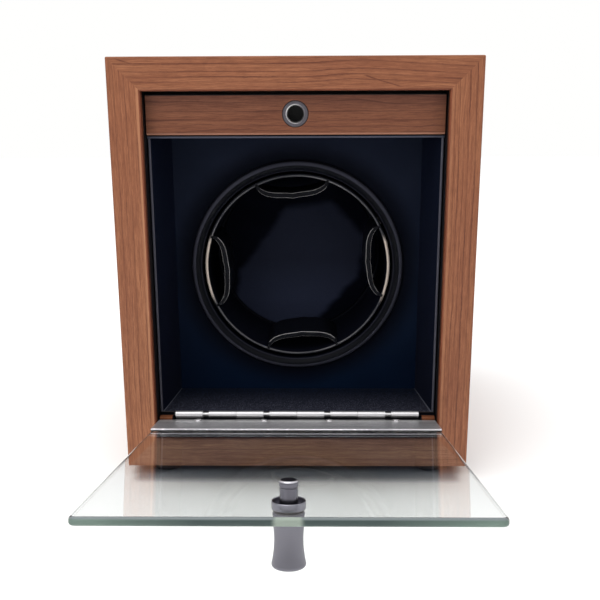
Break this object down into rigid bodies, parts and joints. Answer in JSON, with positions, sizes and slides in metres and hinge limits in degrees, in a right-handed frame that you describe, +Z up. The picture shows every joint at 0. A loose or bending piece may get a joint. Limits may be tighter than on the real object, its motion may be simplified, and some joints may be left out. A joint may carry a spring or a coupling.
{
  "type": "watch winder",
  "caption": "Mitred walnut case with a drop-down glass door, a black lined chamber and a motor-driven turning cup that holds one wristwatch between sprung leaves.",
  "frame": {"origin": "on the surface the feet stand on, at the middle of the outline with the door open", "axes": "+X to the right seen from the front, +Y from the open door towards the back of the case, +Z up; the rotor axis is along Y at X 0, Z 106.7 mm"},
  "size_m": [0.18, 0.3465, 0.2175],
  "materials": {
    "walnut": "satin lacquered walnut veneer",
    "black_wood": "matte black paint",
    "liner_cloth": "fine blue-black woven lining",
    "black_gloss": "polished black",
    "leaf_black": "polished black",
    "pad_suede": "black suede",
    "door_glass": "clear float glass with polished edges",
    "strip_aluminium": "brushed lengthwise, satin anodised",
    "hinge_metal": "satin nickel",
    "knob_gunmetal": "satin gunmetal",
    "latch_chrome": "polished",
    "rubber_black": "matte",
    "screw_steel": "zinc plated",
    "bushing_bronze": "sintered bronze",
    "drive_plastic": "moulded, matte",
    "motor_steel": "plated",
    "board_green": "solder mask",
    "lead_insulation": "red insulation",
    "cover_black": "black laminate over fibreboard",
    "control_plastic": "fine moulded texture"
  },
  "bodies": {
    "case": {"bezel_ring": "black_gloss", "board_screws": "screw_steel", "board_standoffs": "screw_steel", "bracket_screws": "screw_steel", "case_bottom": "walnut", "case_left": "walnut", "case_right": "walnut", "case_top": "walnut", "catch_insert": "rubber_black", "catch_rail": "walnut", "catch_ring": "latch_chrome", "control_board": "board_green", "dc_jack": "control_plastic", "drive_belt": "rubber_black", "drive_bracket": "drive_plastic", "face_panel": "liner_cloth", "gearbox_case": "motor_steel", "hinge_leaf": "hinge_metal", "hinge_leaf_screws": "hinge_metal", "hinge_pin": "hinge_metal", "hinge_rail": "walnut", "inner_leads": "lead_insulation", "liner_ceiling": "liner_cloth", "liner_floor": "liner_cloth", "liner_left": "liner_cloth", "liner_right": "liner_cloth", "lower_cleat": "black_wood", "motor_can": "motor_steel", "motor_screws": "screw_steel", "motor_spacers": "screw_steel", "panel_nuts": "screw_steel", "rear_cover": "cover_black", "rocker_frame": "control_plastic", "rubber_feet": "rubber_black", "selector_switch": "control_plastic", "shaft_bushings": "bushing_bronze", "upper_cleat": "black_wood", "wood_screws": "screw_steel"},
    "door": {"glass_panel": "door_glass", "door_strip": "strip_aluminium", "door_leaf": "hinge_metal", "door_leaf_screws": "hinge_metal", "knob_body": "knob_gunmetal", "knob_collar": "knob_gunmetal", "knob_washers": "rubber_black", "latch_pin": "latch_chrome"},
    "rotor": {"rotor_cup": "black_gloss", "leaf_right": "leaf_black", "leaf_top": "leaf_black", "leaf_left": "leaf_black", "leaf_bottom": "leaf_black", "cup_pad": "pad_suede", "rotor_shaft": "screw_steel", "driven_pulley": "drive_plastic", "shaft_clip": "screw_steel"},
    "motor_drive": {"motor_shaft": "screw_steel", "motor_pulley": "drive_plastic"},
    "rocker_switch": {"rocker": "control_plastic"},
    "selector_dial": {"selector_shaft": "screw_steel", "selector_knob": "control_plastic"}
  },
  "joints": [
    {"name": "door_hinge", "type": "hinge", "parent": "case", "child": "door", "pos_m": [0, -0.0082, 0.0339], "axis": [-1, 0, 0], "range_deg": [0, 78.5]},
    {"name": "rotor_spin", "type": "hinge", "parent": "case", "child": "rotor", "pos_m": [0, 0.0993, 0.1067], "axis": [0, 1, 0], "continuous": true},
    {"name": "motor_spin", "type": "hinge", "parent": "case", "child": "motor_drive", "pos_m": [0, 0.1113, 0.0547], "axis": [0, 1, 0], "continuous": true},
    {"name": "rocker_tilt", "type": "hinge", "parent": "case", "child": "rocker_switch", "pos_m": [-0.024, 0.1613, 0.14], "axis": [-1, 0, 0], "range_deg": [0, 16]},
    {"name": "selector_turn", "type": "hinge", "parent": "case", "child": "selector_dial", "pos_m": [0.032, 0.1643, 0.14], "axis": [0, 1, 0], "range_deg": [0, 150]}
  ],
  "couplings": [
    {"joint": "motor_spin", "follows": "rotor_spin", "ratio": 5}
  ]
}
